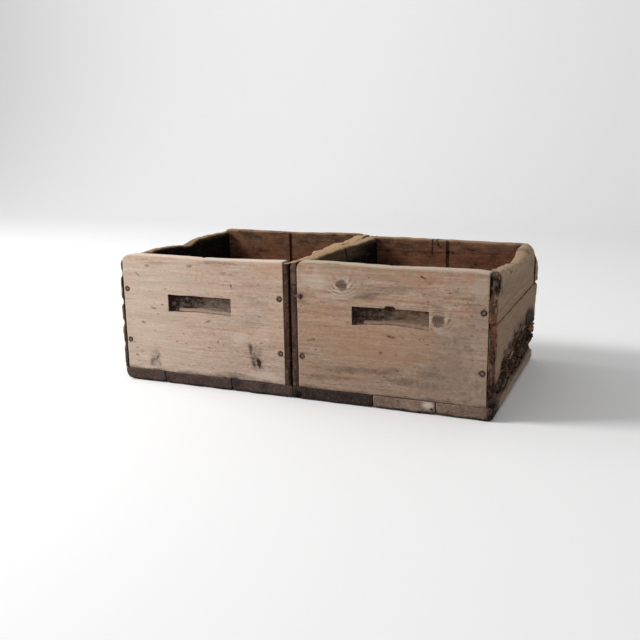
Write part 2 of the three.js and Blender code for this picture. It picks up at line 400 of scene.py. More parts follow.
woodLook = {
    "grain": "x", "seed": 1, "pith": (140, -60), "ringWidth": 4.6,
    "ringTone": 0.16, "fibreTone": 0.7, "streakTone": 0.55, "mottleTone": 0.6, "gritTone": 0.45,
    "specks": (0.70, 0.78), "speckShare": 0.6, "knotTint": "584740", "gloss": 0.25,
    "stops": [(0.05, "d8c4b3"), (0.35, "c3aa97"), (0.62, "ad917d"), (0.95, "836855")],
    "endStops": [(0.2, "6a5a50"), (0.45, "4a3b34"), (0.75, "2a201d")],
    "greyTint": "ab9f92", "blushTint": "c09a88", "veinTint": "a26a4a", "warmTint": "b38c6e",
    "greyShare": 0.4, "blushShare": 0.35, "veinShare": 0.5, "warmShare": 0.5, "endShare": 0.95,
    "paleTint": "e9dacb", "darkTint": "2b1f19", "sootTint": "85776f", "stainTint": "1d1c20",
    "wornTint": "cbb096", "bump": 0.55, "knots": (),
}


def woodOf(name, **changes):
    return makeWood(name, {**woodLook, **changes})


def blankPaints(points, **given):
    names = ("endGrain", "dirt", "stain", "pale", "warm", "worn", "soot")
    return {name: given.get(name, 0) + np.zeros(len(points)) for name in names}


def lay(paints, **masks):
    # Each paint covers what is there wherever it is the stronger
    for paint, mask in masks.items():
        paints[paint] = np.maximum(paints[paint], mask)


pitLook = {"depth": 2.3, "wall": (3.5, 4.6), "ring": (4.0, 5.4)}


def nailPits(points, normals, spots, axis, faceSign):
    # How far the wood is sunk round each nail's head, and the dark ring it leaves
    sunk = np.zeros(len(points))
    ring = np.zeros(len(points))
    others = [n for n in range(3) if n != axis]
    facing = normals[:, axis] * faceSign > 0.5
    for a, b in spots:
        r = np.hypot(points[:, others[0]] - a, points[:, others[1]] - b)
        sunk = np.maximum(sunk, np.where(facing, pitLook["depth"] * (1 - smooth(*pitLook["wall"], r)), 0))
        ring = np.maximum(ring, np.where(facing, 1 - smooth(*pitLook["ring"], r), 0))
    return sunk, ring


def nailSpots(nodes, axis):
    # Middles of the nails' heads, seen along one axis
    others = [n for n in range(3) if n != axis]
    return [tuple(sum(boxOf(node))[others] / 2) for node in nodes]


grooveLook = {"half": 2.75, "depth": 4.5}  # for a loose divider


def makePanel(spec):
    low, high = boxOf(spec["node"])
    inward = 1 if spec["front"] else -1
    outerY, innerY = (low[1], high[1]) if spec["front"] else (high[1], low[1])
    middle = (low[0] + high[0]) / 2 + spec["gripShift"]
    groove = (low[0] + high[0]) / 2
    half, depth = grooveLook["half"], grooveLook["depth"]
    nails = nailSpots(spec["nails"], 1)
    grip = spec["grip"]
    topLine = spec["topLine"]

    def gripFloor(p):
        bow = grip["bow"] * np.maximum(0, 1 - ((p[:, 0] - middle) / grip["half"]) ** 2)
        return grip["bottom"] + bow + cloud(p, (16, 30, 30), 5) * 0.5

    def gripField(p):
        floor = gripFloor(p)
        ceiling = grip["top"] + cloud(p, (22, 30, 30), 6) * 0.4
        for x, half, rise in grip["chips"]:
            ceiling = ceiling + rise * smooth(1.25, 0.75, np.abs(p[:, 0] - x) / half)
        share = np.clip((p[:, 2] - floor) / (grip["top"] - grip["bottom"]), 0, 1)
        hollow = grip["depth"] * np.minimum(1, 0.3 + 1.9 * share)
        hollow = hollow * (1 - 0.25 * smooth(0.3, 1, (p[:, 0] - middle) / grip["half"]))
        inside = (p[:, 1] - outerY) * inward - hollow
        sides = np.abs(p[:, 0] - middle) - grip["half"]
        return np.maximum.reduce([sides, p[:, 2] - ceiling, floor - p[:, 2], inside])

    def field(p):
        q = p.copy()
        lift = along(p, 0, topLine) + cloud(p, (14, 40, 40), spec["seed"] + 3) * 0.35
        q[:, 2] = p[:, 2] - lift * smooth(high[2] - 45, high[2] - 6, p[:, 2])
        radius = np.clip(1.6 + 1.3 * cloud(p, (45, 45, 45), spec["seed"]), 0.7, 3.4)
        d = slab(q, low, high, radius)
        for side, rx, rz in spec["corners"]:
            cx = low[0] + rx if side < 0 else high[0] - rx
            cz = high[2] - rz
            u = np.maximum((q[:, 0] - cx) * side, 0) / rx
            v = np.maximum(q[:, 2] - cz, 0) / rz
            d = softMax(d, (np.hypot(u, v) - 1) * min(rx, rz), 1.0)
        if grip:
            d = softMax(d, -gripField(p), 0.9)
        slot = np.maximum(np.abs(p[:, 0] - groove) - half, (innerY - p[:, 1]) * inward - depth)
        d = softMax(d, -slot, 0.7)
        return bitten(d, p, spec["bites"])

    marks = [groove - half, groove + half] + [a for a, b in nails]
    heights = [b for a, b in nails]
    if grip:
        marks += [middle - grip["half"], middle + grip["half"]]
        heights += [grip["bottom"], grip["top"]]
    xs = ticks(low[0], high[0], spec["step"], 0.7, marks)
    ys = ticks(low[1], high[1], 3.0, 0.8, [innerY - inward * depth, outerY + inward * 9])
    zs = ticks(low[2], high[2], spec["step"], 0.7, heights)

    def filled(cx, cy, cz):
        solid = ~((np.abs(cx - groove) < half) & ((innerY - cy) * inward < depth))
        if grip:
            solid &= sound(lambda p: -gripField(p), cx, cy, cz, 0)
        return solid & sound(field, cx, cy, cz)

    points, quads = skinOf(xs, ys, zs, filled)
    start = normalsOf(points, quads)
    points = settle(points, field, 5)
    normals = normalsOf(points, quads)
    ends = np.abs(normals[:, 0])
    outside = -normals[:, 1] * inward
    sunk, ring = nailPits(points, start, nails, 1, -inward)
    relief = cloud(points, (90, 60, 22), spec["seed"] + 20, 2) * 0.25
    relief += cloud(points, (26, 4, 3), spec["seed"] + 21) * 0.16
    points = points + normals * relief[:, None]
    points[:, 1] += sunk * inward
    paints = blankPaints(points, endGrain=smooth(0.6, 0.9, ends), dirt=ring * 0.95)
    if grip:
        # painted light and shade in the hand-hold: a painted shadow under the top edge, darker towards the
        # left end and lighter towards the right end where light falls, and a painted highlight along the
        # lip, with soot and warm colour over it
        inGrip = smooth(0.15, 0.9, -gripField(points + normals * 1.2))
        way = (points[:, 0] - middle) / grip["half"]
        shadowUnderTop = points[:, 2] + cloud(points, (9, 9, 9), 33) * 1.5
        shadowUnderTop = smooth(grip["top"] - 9, grip["top"], shadowUnderTop)
        litToRight = smooth(-0.6, 0.5, way + 0.25 * cloud(points, (22, 20, 9), 34))
        shade = grip["grime"] - 0.34 * litToRight + 0.3 * shadowUnderTop + 0.16 * cloud(points, (9, 9, 4), 35, 2)
        lipHighlight = smooth(2.6, 1.2, np.abs(points[:, 2] - gripFloor(points) - 2.4)) * (way > -0.7)
        lay(paints, dirt=inGrip * shade * (1 - 0.65 * lipHighlight), soot=inGrip * 0.45, warm=inGrip * 0.9)
    nearTop = smooth(high[2] - 5, high[2] - 0.5, points[:, 2] - along(points, 0, topLine))
    lay(paints, pale=nearTop * 0.7 * spec["rim"])
    speckled = smooth(26, 8, high[2] - points[:, 2]) * (outside > 0.5)
    lay(paints, warm=speckled * smooth(-0.1, 0.6, cloud(points, (9, 9, 5), 36, 2)))
    lay(paints, dirt=smooth(0.6, 0.95, ends) * 0.55)
    scallop = points[:, 2] + 3 * cloud(points, (16, 18, 18), 9)
    lay(paints, dirt=smooth(low[2] + 6, low[2] + 1, scallop) * 0.55)
    spec["brush"](points, outside > 0.5, paints)
    meshPiece(spec["name"], points, quads.tolist(), spec["wood"], paints, spec["slot"], spec["node"])
    print(spec["name"], len(points), "points")


def blots(points, paints, face, table):
    # Each row under a paint: x and z of the middle, the two sizes, the turn and the strength
    ragX, ragZ = cloud(points, (7, 7, 7), 31), cloud(points, (7, 7, 7), 32)
    for paint, rows in table.items():
        for x, z, long, wide, turn, strength in rows:
            rag = min(long, wide) * 0.35
            mask = spot(points[:, 0] + ragX * rag, points[:, 2] + ragZ * rag, (x, z), (long, wide), turn)
            lay(paints, **{paint: mask * strength * face})


def brushLeftFront(points, face, paints):
    x, z = points[:, 0], points[:, 2]
    blots(points, paints, face, {
        "dirt": [(-70, 71, 5, 13, 8, 0.8), (-56, 51, 5, 12, 10, 1.0), (-65, 52, 6, 13, 8, 0.8),
                 (-61, 60, 5, 14, 12, 0.6), (-62, 58, 17, 27, 10, 0.4), (-254, 36, 4, 11, -32, 0.65),
                 (-243, 44, 3, 10, -32, 0.7), (-249, 51, 8, 3, -20, 0.45), (-252, 30, 7, 2.5, 20, 0.4),
                 (-240, 34, 3, 7, 20, 0.4), (-268, 101, 6, 1.8, 0, 0.8), (-246, 126, 8, 2, -10, 0.75),
                 (-229, 132, 4, 1.6, 0, 0.7), (-143, 111, 5, 2, -5, 0.75), (-128, 79, 1.6, 4, 0, 0.9),
                 (-109, 177, 5, 1.6, -5, 0.6), (-101, 170, 1.5, 5, 8, 0.95), (-274, 180, 7, 2, -42, 0.6),
                 (-254, 195, 6, 2.2, 10, 0.6), (-284, 44, 5, 2, -20, 0.75), (-281, 33, 5, 1.6, 10, 0.5),
                 (-283, 56, 4, 1.6, 10, 0.5), (-288, 66, 3, 1.4, -30, 0.6), (-277, 28, 7, 1.4, 15, 0.5),
                 (-290, 24, 4, 1.5, 5, 0.5), (-274, 50, 2.2, 3, 0, 0.45), (-222, 158, 5, 1.5, 0, 0.5),
                 (-113, 190, 8, 1.7, 0, 0.5), (-120, 205, 40, 3.5, 0, 0.5), (-235, 200, 26, 3, 0, 0.4),
                 (-175, 198, 6, 2.5, 10, 0.6), (-260, 205, 20, 2, -5, 0.3), (-190, 17, 64, 9, 2, 0.6),
                 (-245, 20, 22, 6, 0, 0.75), (-90, 26, 40, 6, -4, 0.45)],
        "soot": [(-248, 42, 17, 18, -30, 0.6), (-70, 115, 26, 22, 0, 0.32), (-60, 150, 40, 50, 0, 0.22)],
        "stain": [(-107, 18, 20, 8, 0, 0.9)],
        "warm": [(-30, 198, 46, 12, 0, 0.9), (-26, 110, 18, 60, 0, 0.45), (-200, 105, 70, 22, 0, 0.25),
                 (-80, 105, 44, 14, 0, 0.4), (-160, 90, 40, 12, 0, 0.25), (-250, 205, 40, 9, 0, 0.5)],
        "pale": [(-90, 88, 16, 12, 0, 0.4), (-50, 30, 40, 9, 0, 0.6)],
    })
    lay(paints, pale=face * smooth(-120, -250, x) * 0.3)
    lay(paints, soot=face * smooth(150, 20, z) * (0.18 + 0.2 * smooth(-190, -60, x)))


def brushRightFront(points, face, paints):
    x, z = points[:, 0], points[:, 2]
    blots(points, paints, face, {
        # the first blot is painted shade: the dark hole by the bent nail
        "dirt": [(18, 161, 4.5, 5, 0, 1.0), (205, 199, 7, 1.8, -25, 0.85), (159, 110.5, 9, 2.4, -8, 0.75),
                 (36, 97, 6, 2.4, 10, 0.7), (143, 85, 4, 3, 0, 0.7), (167, 84, 3, 2.5, 0, 0.5),
                 (104, 112, 1.5, 9, 0, 0.4), (22, 74, 26, 1.3, -4, 0.65), (270, 165, 30, 1.2, 2, 0.5),
                 (165, 192, 10, 2, -10, 0.4), (150, 199, 5, 2, 20, 0.4), (110, 56, 84, 7, 3, 0.5),
                 (60, 40, 60, 5, 2, 0.45), (190, 44, 60, 7, -2, 0.4), (220, 60, 40, 4, -3, 0.35),
                 (120, 168, 30, 5, 10, 0.45), (225, 160, 12, 3, 0, 0.45)],
        "warm": [(130, 95, 110, 40, 0, 0.9), (50, 120, 44, 50, 0, 0.6), (185, 82, 52, 9, 5, 0.9),
                 (90, 46, 70, 9, 3, 0.6), (60, 196, 40, 7, 0, 0.35), (200, 196, 80, 9, 0, 0.5)],
        "soot": [(250, 110, 44, 34, 0, 0.55), (240, 60, 60, 50, 0, 0.7), (285, 150, 20, 60, 0, 0.4),
                 (140, 176, 70, 9, 8, 0.5)],
        "pale": [(40, 187, 34, 22, 0, 0.6), (75, 165, 44, 6, 5, 0.5), (240, 122, 24, 6, -14, 0.6),
                 (285, 185, 18, 22, 0, 0.4)],
    })
    lay(paints, soot=face * smooth(150, 20, z) * (0.38 + 0.3 * smooth(60, 280, x)))
    flecks = smooth(0.35, 0.7, cloud(points, (8, 8, 5), 37)) * smooth(150, 60, np.abs(points[:, 2] - 100))
    lay(paints, dirt=face * flecks * 0.3 * smooth(150, 240, x))


def brushBack(points, face, paints):
    # Inside: brown and sooty, with painted shade worst low down and in the left corner of each box
    x, z = points[:, 0], points[:, 2]
    inside = 1 - face
    side = np.where(x < 0, x + 303, x - 11)
    # painted shade in the left corner and low down in each box
    lay(paints, dirt=inside * np.maximum(0.25, smooth(120, 20, side) * smooth(214, 150, z) * 0.85))
    lay(paints, dirt=inside * (0.45 + 0.3 * cloud(points, (16, 12, 9), 43, 2)))
    lay(paints, warm=inside * smooth(196, 182, z))
    lay(paints, dirt=face * 0.2)
    lay(paints, worn=face * (0.2 + 0.2 * cloud(points, (30, 20, 14), 47, 2)))
    if points[:, 0].min() > 0:
        # short cracks beside the groove
        lay(paints, dirt=inside * spot(x, z, (155, 187), (7, 4), 0))
        for cx, z0, z1, lean in ((139.5, 196, 210, 0.35), (126, 182, 211, 0.02), (163, 184, 190, 0)):
            line = np.abs(x - cx - (z - z0) * -lean)
            lay(paints, dirt=inside * smooth(2.6, 0.8, line) * (z > z0) * (z < z1) * 0.95)


panelDefaults = {
    "slot": "pine_dry", "front": False, "step": 2.8, "gripShift": 0, "rim": 1, "corners": [], "bites": [],
    # the grip's grime sets the strength of the grime and painted shade laid in the hand-hold
    "grip": {"half": 57.5, "top": 150, "bottom": 123, "bow": 6, "depth": 11, "chips": [], "grime": 0.86},
    "brush": brushBack,
}
leftFront = {
    **panelDefaults, "name": "left_front_panel_worn", "node": "left_front_panel", "slot": "pine_pale",
    "front": True, "nails": [f"left_front_nail_{n}" for n in (1, 2, 3, 4)],
    "step": 1.7, "seed": 11, "gripShift": -3,
    "topLine": [(-303, -0.4), (-260, 0.3), (-200, -0.6), (-154, -1.6), (-75, -0.7), (-6, 0)],
    "corners": [(-1, 20, 11), (1, 4, 4)],
    "grip": {"half": 57, "top": 149.4, "bottom": 121.6, "bow": 2.4, "depth": 11, "chips": [], "grime": 0.95},
    "bites": [(-147, -181, 213, 3.5, 5, 2.2)],
    "brush": brushLeftFront,
}
rightFront = {
    **panelDefaults, "name": "right_front_panel_worn", "node": "right_front_panel", "slot": "pine_brown",
    "front": True, "nails": [f"right_front_nail_{n}" for n in (1, 2, 4)],
    "step": 1.7, "seed": 12, "gripShift": 2,
    "topLine": [(11, 2.4), (58, 2.6), (75, 2), (120, 0.8), (164, 0), (200, 0.5), (278, 0.8), (299, -1.2)],
    "corners": [(-1, 12, 14), (1, 4, 3)],
    "grip": {"half": 57.5, "top": 151, "bottom": 123.6, "bow": 4, "depth": 11, "chips": [(157, 7, 3.6)],
             "grime": 0.86},
    "brush": brushRightFront,
}
leftBack = {
    **panelDefaults, "name": "left_back_panel_worn", "node": "left_back_panel", "seed": 13,
    "nails": [f"left_back_nail_{n}" for n in (1, 2, 3, 4)],
    "topLine": [(-303, 5), (-189, 3.4), (-145, 2.1), (-97, 2.9), (-61, 3.7), (-20, 3.3), (-11, 2)],
    "corners": [(-1, 8, 6), (1, 5, 4)],
}
rightBackLower = {
    **panelDefaults, "name": "right_back_lower_worn", "node": "right_back_panel_lower", "seed": 14,
    "nails": [f"right_back_nail_{n}" for n in (1, 2, 3, 4)], "rim": 0, "topLine": [(11, 0), (299, 0)],
}
rightBackUpper = {
    **panelDefaults, "name": "right_back_upper_worn", "node": "right_back_panel_upper", "seed": 15,
    "nails": [f"right_back_nail_{n}" for n in (5, 6)], "grip": None,
    "topLine": [(11, 0.5), (17, -1), (59, -1.4), (120, -2.3), (212, -3.4), (265, -4.6), (299, -5.4)],
    "corners": [(-1, 5, 4), (1, 16, 11)],
}


def makePanels():
    leftFront["wood"] = woodOf("pale_pine", seed=1, pith=(120, 40), mottleTone=0.75, specks=(0.68, 0.77),
                               speckShare=0.7, blushShare=0.45)
    rightFront["wood"] = woodOf(
        "brown_pine", seed=2, pith=(60, 20), knots=[(83, 182, 8.6), (227.5, 138.8, 9)], streakTone=0.7,
        mottleTone=0.8, specks=(0.68, 0.77), speckShare=0.7, blushShare=0.6, veinShare=0.85,
        stops=[(0.05, "c3ad99"), (0.35, "ab917c"), (0.62, "94785f"), (0.95, "6a503d")],
        warmTint="a27857", greyTint="9b8d80", blushTint="a67d6c",
        paleTint="cdbfae", sootTint="7c6c62")
    dry = dict(
        stops=[(0.05, "a98162"), (0.35, "8c644b"), (0.62, "704e39"), (0.95, "4a3224")],
        warmTint="85513a", greyTint="756253", paleTint="cfad8a",
        blushTint="88593f", darkTint="170e0a", sootTint="4a3d36",
        gloss=0.12)
    leftBack["wood"] = woodOf("dry_pine_left", seed=3, pith=(100, 120), **dry)
    rightBackLower["wood"] = woodOf("dry_pine_right", seed=4, pith=(60, 240), **dry)
    rightBackUpper["wood"] = woodOf("dry_pine_narrow", seed=5, pith=(210, 240), **dry)
    for spec in (leftFront, rightFront, leftBack, rightBackLower, rightBackUpper):
        makePanel(spec)


def makeSide(spec):
    low, high = boxOf(spec["node"])
    outward = spec["outward"]
    outer, inner = (high[0], low[0]) if outward > 0 else (low[0], high[0])
    lip = outer - outward * spec["lip"]
    rebate = 19.3
    seed = spec["seed"]

    def bent(p):
        # Undoes the board's splay and the wear of its top, so that the sound board can be measured
        q = p.copy()
        q[:, 0] -= outward * spec["splay"] * smooth(148, 182, p[:, 1]) * along(p, 2, spec["splayLine"])
        drop = along(p, 1, spec["topLine"]) + cloud(p, (30, 11, 30), seed + 3) * spec["chatter"]
        q[:, 2] = p[:, 2] - drop * smooth(high[2] - 45, high[2] - 20, p[:, 2])
        return q

    def crackField(p):
        d = np.full(len(p), 9.0)
        for crack in spec["cracks"]:
            share = (p[:, 2] - crack["low"]) / (crack["high"] - crack["low"])
            way = crack["at"] + crack["lean"] * (share - 0.5)
            way = way + cloud(p, (9, 9, 7), seed + 30) * crack["wander"]
            half = crack["narrow"] + (crack["wide"] - crack["narrow"]) * share
            deep = (outer - p[:, 0]) * outward - crack["depth"]
            ends = np.maximum(crack["low"] - p[:, 2], p[:, 2] - crack["high"])
            d = np.minimum(d, np.maximum.reduce([np.abs(p[:, 1] - way) - half, deep, ends]))
        return d

    def field(p):
        q = bent(p)
        radius = np.clip(1.4 + 1.1 * cloud(p, (40, 40, 40), seed), 0.6, 3.0)
        if spec["hasTop"]:
            share = smooth(0.25, 0.75, (q[:, 0] - inner) / (outer - inner))
            crown = spec["crown"][0] * (1 - share) + spec["crown"][1] * share
            crown = np.clip(crown * (0.8 + 0.35 * cloud(p, (40, 26, 40), seed + 5)),
                            0.8, abs(outer - inner) / 2 - 0.1)
            radius = radius + (crown - radius) * smooth(high[2] - 34, high[2] - 16, q[:, 2])
        shift = along(p, 2, spec["outerShift"]) * outward
        bodyLow, bodyHigh = np.tile(low, (len(p), 1)), np.tile(high, (len(p), 1))
        (bodyHigh if outward > 0 else bodyLow)[:, 0] += shift
        lipLow, lipHigh = bodyLow.copy(), bodyHigh.copy()
        bodyLow[:, 1] += rebate
        bodyHigh[:, 1] -= rebate
        (lipLow if outward > 0 else lipHigh)[:, 0] = lip
        d = np.minimum(slab(q, bodyLow, bodyHigh, radius),
                       slab(q, lipLow, lipHigh, np.minimum(radius, spec["lip"] / 2 - 0.1)))
        for face, places in spec["rounded"]:
            # extra rounding of a top arris, given as y, width and drop
            at, widths, drops = zip(*places)
            rx, rz = np.interp(p[:, 1], at, widths), np.interp(p[:, 1], at, drops)
            edge = outer if face > 0 else inner
            u = np.maximum((q[:, 0] - edge) * outward * face + rx, 0) / rx
            v = np.maximum(q[:, 2] - high[2] + rz, 0) / rz
            d = softMax(d, (np.hypot(u, v) - 1) * np.minimum(rx, rz), 1.0)
        chip = cloud(p, (5, 9, 6), seed + 7) * 0.7 + cloud(p, (14, 14, 12), seed + 8)
        nearArris = smooth(7, 0, 179 - np.abs(q[:, 1])) * smooth(10, 3, np.abs(q[:, 0] - outer))
        nearArris = np.maximum(nearArris, smooth(9, 0, np.abs(q[:, 2] - high[2])) * 0.7)
        d = d + np.maximum(chip, 0) * nearArris * spec["fray"]
        d = d + spec["decay"](p)
        d = softMax(d, -crackField(p), 0.5)
        return bitten(d, p, spec["bites"])

    marks = [low[1] + rebate, high[1] - rebate, *spec["marks"]]
    xs = ticks(low[0], high[0], 3.0, 0.9, [lip])
    ys = ticks(low[1], high[1], spec["step"], 0.9, marks)
    zs = ticks(low[2], high[2], spec["step"], 0.9)

    def filled(cx, cy, cz):
        beside = (cy < low[1] + rebate) | (cy > high[1] - rebate)
        whole = ~(beside & ((cx - lip) * outward < 0))
        return whole & sound(lambda p: np.maximum(field(p), 2 - 4 * (crackField(p) > 0)), cx, cy, cz)

    points, quads = skinOf(xs, ys, zs, filled)
    points = settle(points, field, 5)
    normals = normalsOf(points, quads)
    relief = cloud(points, (60, 90, 22), seed + 20, 2) * 0.3
    relief += cloud(points, (4, 30, 3.2), seed + 21) * spec["ridges"]
    points = points + normals * relief[:, None]
    paints = blankPaints(points, endGrain=smooth(0.6, 0.9, np.abs(normals[:, 1])), dirt=spec["grime"])
    if spec["hasTop"]:
        q = bent(points)
        atTop = smooth(high[2] - 13, high[2] - 3, q[:, 2]) * smooth(0.15, 0.7, normals[:, 2])
        paints["worn"] = atTop * spec["topWorn"]
        paints["dirt"] *= 1 - 0.85 * atTop
    spec["brush"](points, normals, paints)
    # painted shade inside the cracks
    if spec["cracks"]:
        lay(paints, dirt=smooth(2.4, 1.0, crackField(points)))
    meshPiece(spec["name"], points, quads.tolist(), spec["wood"], paints, spec["slot"], spec["node"])
    print(spec["name"], len(points), "points")


def brushFrontStrip(points, normals, paints):
    # The ends of the side boards: grimy, with paler scuffs
    x, y, z = points.T
    front = smooth(-0.5, -0.9, normals[:, 1])
    lay(paints, warm=front * 0.7)
    lay(paints, dirt=front * (0.36 + 0.4 * cloud(points, (3, 3, 16), 41, 2)))
    lay(paints, pale=front * smooth(0.4, 0.8, cloud(points, (2.5, 3, 6), 42)) * 0.5)
    between = smooth(-150, -165, y) * smooth(3.4, 1.8, np.abs(x + 0.6))
    beside = smooth(-150, -165, y) * smooth(2.6, 1.2, np.abs(np.abs(x) - 12))
    crown = smooth(-160, -172, y) * smooth(8, 4, np.abs(x)) * smooth(196, 204, z)
    lay(paints, dirt=np.maximum.reduce([between, beside * 0.8, crown * 0.8]))


def brushLeftWall(points, normals, paints):
    brushFrontStrip(points, normals, paints)
    # painted shade on the inside face: dark all over and nearly black below the top
    inside = smooth(0.3, 0.8, normals[:, 0])
    lay(paints, dirt=inside * smooth(212, 203, points[:, 2]))
    lay(paints, dirt=inside * 0.5)
    edge = -306.6 - along(points, 2, leftOuter["outerShift"]) * 0.9
    scuffed = smooth(edge + 0.8, edge - 0.8, points[:, 0] + cloud(points, (6, 6, 8), 45))
    scuffed = scuffed * smooth(-172, -177, points[:, 1] + cloud(points, (6, 6, 6), 50) * 2)
    paints["dirt"] *= 1 - scuffed
    lay(paints, worn=scuffed * (0.9 + 0.3 * cloud(points, (5, 5, 6), 46)))
    paints["endGrain"] = paints["endGrain"] * (1 - scuffed)


def brushDivider(points, normals, paints):
    # Olive brown near the top; painted shade makes the inner faces nearly black further down
    brushFrontStrip(points, normals, paints)
    x, y, z = points.T
    inside = smooth(0.3, 0.8, np.abs(normals[:, 0])) * (np.abs(x) > 15)
    # painted shade on the inner faces: nearly black below the top, setting in a little lower at the front,
    # and dark right up to the top towards the back
    depth = smooth(206, 182, z + 7 * smooth(60, -150, y))
    lay(paints, dirt=inside * np.maximum(depth, smooth(-20, 120, y) * smooth(212, 200, z) * 0.95))
    upper = smooth(172, 184, z) * smooth(-0.5, -0.9, normals[:, 1]) * (x > 0)
    paints["dirt"] *= 1 - 0.25 * upper
    lay(paints, worn=upper * (0.16 + 0.25 * cloud(points, (3, 3, 7), 44)))
    line = smooth(2.2, 0.6, np.abs(z - 177.5 - 0.25 * (x - 5))) * (x > 0) * (y < -172)
    lay(paints, dirt=line)


def soundWood(p):
    return 0.0


rotEdge = [(-179, 50), (-160, 56), (-147, 66), (-133, 76), (-114, 86), (-61, 90), (-20, 98), (48, 100),
           (127, 90), (179, 84)]


def rotReach(p):
    return smooth(0, 24, along(p, 1, rotEdge) + 7 * cloud(p, (12, 15, 12), 60, 2) - p[:, 2])


def rotDepth(p):
    # Rot in the lower back of the outer side, left as strands along the grain
    rising = p - np.array([0, 0, 0.16]) * p[:, 1:2]
    strands = smooth(0.03, 0.4, np.abs(cloud(rising, (9, 50, 5), 61, 2)))
    crumbs = smooth(0.1, 0.6, cloud(p, (6, 9, 5), 62))
    under = smooth(34, 24, p[:, 2]) * smooth(-179, -120, p[:, 1])
    return rotReach(p) * (0.8 + 4.6 * strands + 1.6 * crumbs + 2 * under) * smooth(287, 293, p[:, 0])


def brushRightLower(points, normals, paints):
    y, z = points[:, 1], points[:, 2]
    outer = normals[:, 0] > 0.1
    reach = rotReach(points) * outer
    depth = rotDepth(points)
    lay(paints, warm=reach * 1.2)
    lay(paints, dirt=reach * (0.46 + 0.5 * smooth(0.8, 2.8, depth)))
    fibres = smooth(0.35, 0.75, cloud(points - [0, 0, 0.16] * points[:, 1:2], (6, 26, 2.6), 76))
    lay(paints, worn=reach * smooth(3.0, 1.4, depth) * fibres * 0.75)
    halo = smooth(-12, 6, along(points, 1, rotEdge) - z + 9 * cloud(points, (9, 14, 9), 68, 2)) * outer
    lay(paints, dirt=halo * (0.7 + 0.5 * cloud(points, (5, 14, 5), 69, 2)))
    blob = spot(y, z, (120, 88), (70, 22), -8) * outer
    lay(paints, dirt=blob * (1 + 0.4 * cloud(points, (5, 20, 6), 74)))
    joint = smooth(3.2, 0.8, 139.5 - z + 0.6 * smooth(0, 179, y)) * outer
    lay(paints, dirt=joint * (0.65 + 0.3 * smooth(-60, 150, y)))
    low = smooth(74, 50, z + 10 * cloud(points, (9, 9, 9), 73)) * smooth(-80, -140, y)
    lay(paints, warm=low * 0.6)
    lay(paints, dirt=low * (0.85 + 0.4 * cloud(points, (5, 6, 5), 64, 2)))
    brushRustyFront(points, paints)
    for y0, z0, sy, sz in ((-174, 110, 5, 5), (-168, 122, 3, 4)):
        lay(paints, dirt=spot(y, z, (y0, z0), (sy, sz)) * 0.95 * outer)


def knobReach(p):
    # The bruised front top corner of the outer side
    return smooth(1.15, 0.7, np.hypot((p[:, 1] + 180) / 36, (p[:, 2] - 202) / 26))


def knobWear(p):
    return knobReach(p) * (1.0 + 2.2 * cloud(p, (7, 7, 6), 72, 2))


def brushRustyFront(points, paints):
    # The front arris is rough, reddish and black by turns
    y, z = points[:, 1], points[:, 2]
    strip = smooth(-168, -177, y)
    lay(paints, warm=strip * smooth(-0.3, 0.4, cloud(points, (6, 6, 12), 71, 2)))
    lay(paints, worn=strip * smooth(0.3, 0.8, cloud(points, (4, 4, 10), 75, 2)) * 0.45)
    lay(paints, dirt=strip * (0.40 + 0.7 * cloud(points, (5, 5, 9), 65, 2)))
    lay(paints, dirt=strip * smooth(60, 30, z) * 0.85)


def brushRightUpper(points, normals, paints):
    y, z = points[:, 1], points[:, 2]
    knob = knobReach(points)
    lay(paints, warm=knob * 0.8)
    paints["worn"] *= 1 - 0.8 * knob
    lay(paints, dirt=knob * (0.98 + 0.7 * cloud(points, (4, 4, 4), 66, 2)))
    brushRustyFront(points, paints)
    joint = smooth(3.0 + 2 * smooth(60, 179, y), 0.8, z - 139.5) * (normals[:, 0] > 0.1)
    lay(paints, dirt=joint * (0.65 + 0.3 * smooth(-60, 150, y)))
    ridge = smooth(-26, -8, z - 212 - along(points, 1, rightUpper["topLine"]))
    flecks = smooth(0.35, 0.7, cloud(points, (6, 7, 5), 67))
    lay(paints, dirt=flecks * ridge * 0.7)
    lay(paints, pale=ridge * 0.35 * (normals[:, 2] < 0.6))
    for y0, z0, sy, sz in ((-174, 189, 9, 7), (-80, 198, 8, 5), (-3, 199, 10, 5), (85, 207, 8, 6),
                           (28, 201, 8, 5), (-148, 180, 4, 12)):
        lay(paints, dirt=spot(y, z, (y0, z0), (sy, sz)) * 0.8)


sideDefaults = {
    "splay": 0, "splayLine": [(0, 1), (212, 1)], "hasTop": True, "topLine": [(-179, 0), (179, 0)],
    "chatter": 0.5, "crown": (3, 3), "rounded": [], "fray": 0.6, "ridges": 0.25, "bites": [],
    "cracks": [], "marks": [], "step": 3.0, "grime": 0.0, "topWorn": 0.85, "brush": brushFrontStrip,
    "outerShift": [(0, 0), (212, 0)], "decay": soundWood,
}
leftOuter = {
    **sideDefaults, "name": "left_outer_side_worn", "node": "left_outer_side", "slot": "pine_dark",
    "outward": -1, "lip": 6, "seed": 21, "grime": 0.3, "fray": 3.6, "crown": (5, 4), "chatter": 0.8,
    "topLine": [(-179, -9), (-150, -7), (-129, -6), (-90, -3), (-44, -4.5), (6, -7.5), (26, -4.5),
                (46, -1), (101, 1.5), (161, 0.5), (179, 0)],
    "outerShift": [(20, 3), (42, 3), (83, 2), (106, 1.3), (139, 0.5), (200, -2.5), (212, -3)],
    "brush": brushLeftWall, "topWorn": 0.6,
}
